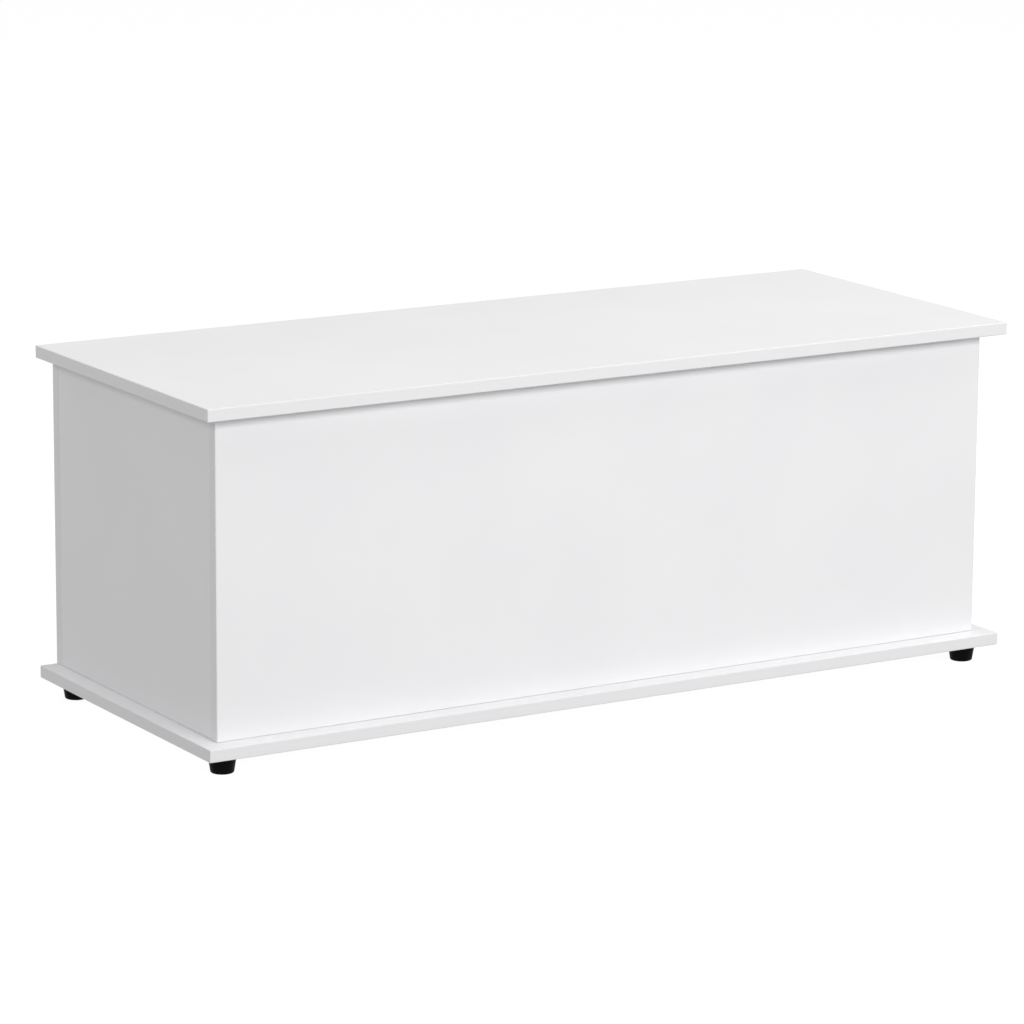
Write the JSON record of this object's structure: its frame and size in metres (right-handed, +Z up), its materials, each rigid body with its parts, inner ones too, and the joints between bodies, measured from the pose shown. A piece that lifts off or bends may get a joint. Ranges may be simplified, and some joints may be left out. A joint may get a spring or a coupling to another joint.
{
  "type": "toy box",
  "caption": "Long low lidded toy chest of white faced board, with overhanging lid and base, small round feet, rear hinges and gas lid supports.",
  "frame": {"origin": "on the floor, under the middle of the lid and base", "axes": "+X along the chest to the right as seen from the front, -Y is the front, +Z up; the lid is shut"},
  "size_m": [1.1, 0.4454, 0.428],
  "materials": {
    "faced_board": "white melamine-faced chipboard, satin with a very fine texture",
    "edge_band": "white plastic edge band, satin, glued on and trimmed",
    "foot_plastic": "black moulded plastic, fine grain",
    "socket_plastic": "black glass-filled nylon",
    "cylinder_paint": "grey lacquered steel tube, semi-gloss",
    "rod_chrome": "ground and polished steel rod",
    "bumper_rubber": "milky soft pad",
    "dowel_beech": "plain beech with fine flutes",
    "cam_zinc": "die-cast zinc alloy, dull",
    "screw_steel": "bright zinc-plated steel",
    "plated_steel": "pressed steel, bright zinc plating"
  },
  "bodies": {
    "chest": {"back_left_foot": "foot_plastic", "back_panel": "faced_board", "back_panel_left_edge_band": "edge_band", "back_panel_right_edge_band": "edge_band", "back_panel_top_edge_band": "edge_band", "back_right_foot": "foot_plastic", "base_back_edge_band": "edge_band", "base_front_edge_band": "edge_band", "base_left_edge_band": "edge_band", "base_panel": "faced_board", "base_right_edge_band": "edge_band", "base_screws": "screw_steel", "cam_bolts": "cam_zinc", "cam_locks": "cam_zinc", "chest_fitting_screws": "screw_steel", "foot_screws": "screw_steel", "front_left_foot": "foot_plastic", "front_panel": "faced_board", "front_panel_left_edge_band": "edge_band", "front_panel_right_edge_band": "edge_band", "front_panel_top_edge_band": "edge_band", "front_right_foot": "foot_plastic", "left_hinge_back_leaf": "plated_steel", "left_hinge_pin": "plated_steel", "left_side_panel": "faced_board", "left_side_top_edge_band": "edge_band", "left_strut_side_bracket": "plated_steel", "lid_bumpers": "bumper_rubber", "middle_hinge_back_leaf": "plated_steel", "middle_hinge_pin": "plated_steel", "right_hinge_back_leaf": "plated_steel", "right_hinge_pin": "plated_steel", "right_side_panel": "faced_board", "right_side_top_edge_band": "edge_band", "right_strut_side_bracket": "plated_steel", "wooden_dowels": "dowel_beech"},
    "lid": {"left_hinge_lid_leaf": "plated_steel", "left_strut_lid_bracket": "plated_steel", "lid_back_edge_band": "edge_band", "lid_fitting_screws": "screw_steel", "lid_front_edge_band": "edge_band", "lid_left_edge_band": "edge_band", "lid_panel": "faced_board", "lid_right_edge_band": "edge_band", "middle_hinge_lid_leaf": "plated_steel", "right_hinge_lid_leaf": "plated_steel", "right_strut_lid_bracket": "plated_steel"},
    "left_strut_tube": {"left_strut_cylinder": "cylinder_paint", "left_strut_cylinder_socket": "socket_plastic", "left_strut_rod_guide": "socket_plastic"},
    "right_strut_tube": {"right_strut_cylinder": "cylinder_paint", "right_strut_cylinder_socket": "socket_plastic", "right_strut_rod_guide": "socket_plastic"},
    "left_strut_plunger": {"left_strut_piston": "socket_plastic", "left_strut_rod": "rod_chrome", "left_strut_rod_socket": "socket_plastic"},
    "right_strut_plunger": {"right_strut_piston": "socket_plastic", "right_strut_rod": "rod_chrome", "right_strut_rod_socket": "socket_plastic"}
  },
  "joints": [
    {"name": "lid_hinge", "type": "hinge", "parent": "chest", "child": "lid", "pos_m": [0, 0.2229, 0.41225], "axis": [-1, 0, 0], "range_deg": [0, 85]},
    {"name": "left_tube_pivot", "type": "hinge", "parent": "chest", "child": "left_strut_tube", "pos_m": [-0.4985, 0.1879, 0.21534], "axis": [-1, 0, 0], "range_deg": [0, 42.5]},
    {"name": "left_plunger_pivot", "type": "hinge", "parent": "lid", "child": "left_strut_plunger", "pos_m": [-0.4985, 0.02403, 0.391], "axis": [-1, 0, 0], "range_deg": [-42.5, 0]},
    {"name": "right_tube_pivot", "type": "hinge", "parent": "chest", "child": "right_strut_tube", "pos_m": [0.4985, 0.1879, 0.21534], "axis": [-1, 0, 0], "range_deg": [0, 42.5]},
    {"name": "right_plunger_pivot", "type": "hinge", "parent": "lid", "child": "right_strut_plunger", "pos_m": [0.4985, 0.02403, 0.391], "axis": [-1, 0, 0], "range_deg": [-42.5, 0]}
  ],
  "couplings": [
    {"joint": "left_tube_pivot", "follows": "lid_hinge", "ratio": 0.5},
    {"joint": "left_plunger_pivot", "follows": "lid_hinge", "ratio": -0.5},
    {"joint": "right_tube_pivot", "follows": "lid_hinge", "ratio": 0.5},
    {"joint": "right_plunger_pivot", "follows": "lid_hinge", "ratio": -0.5}
  ]
}
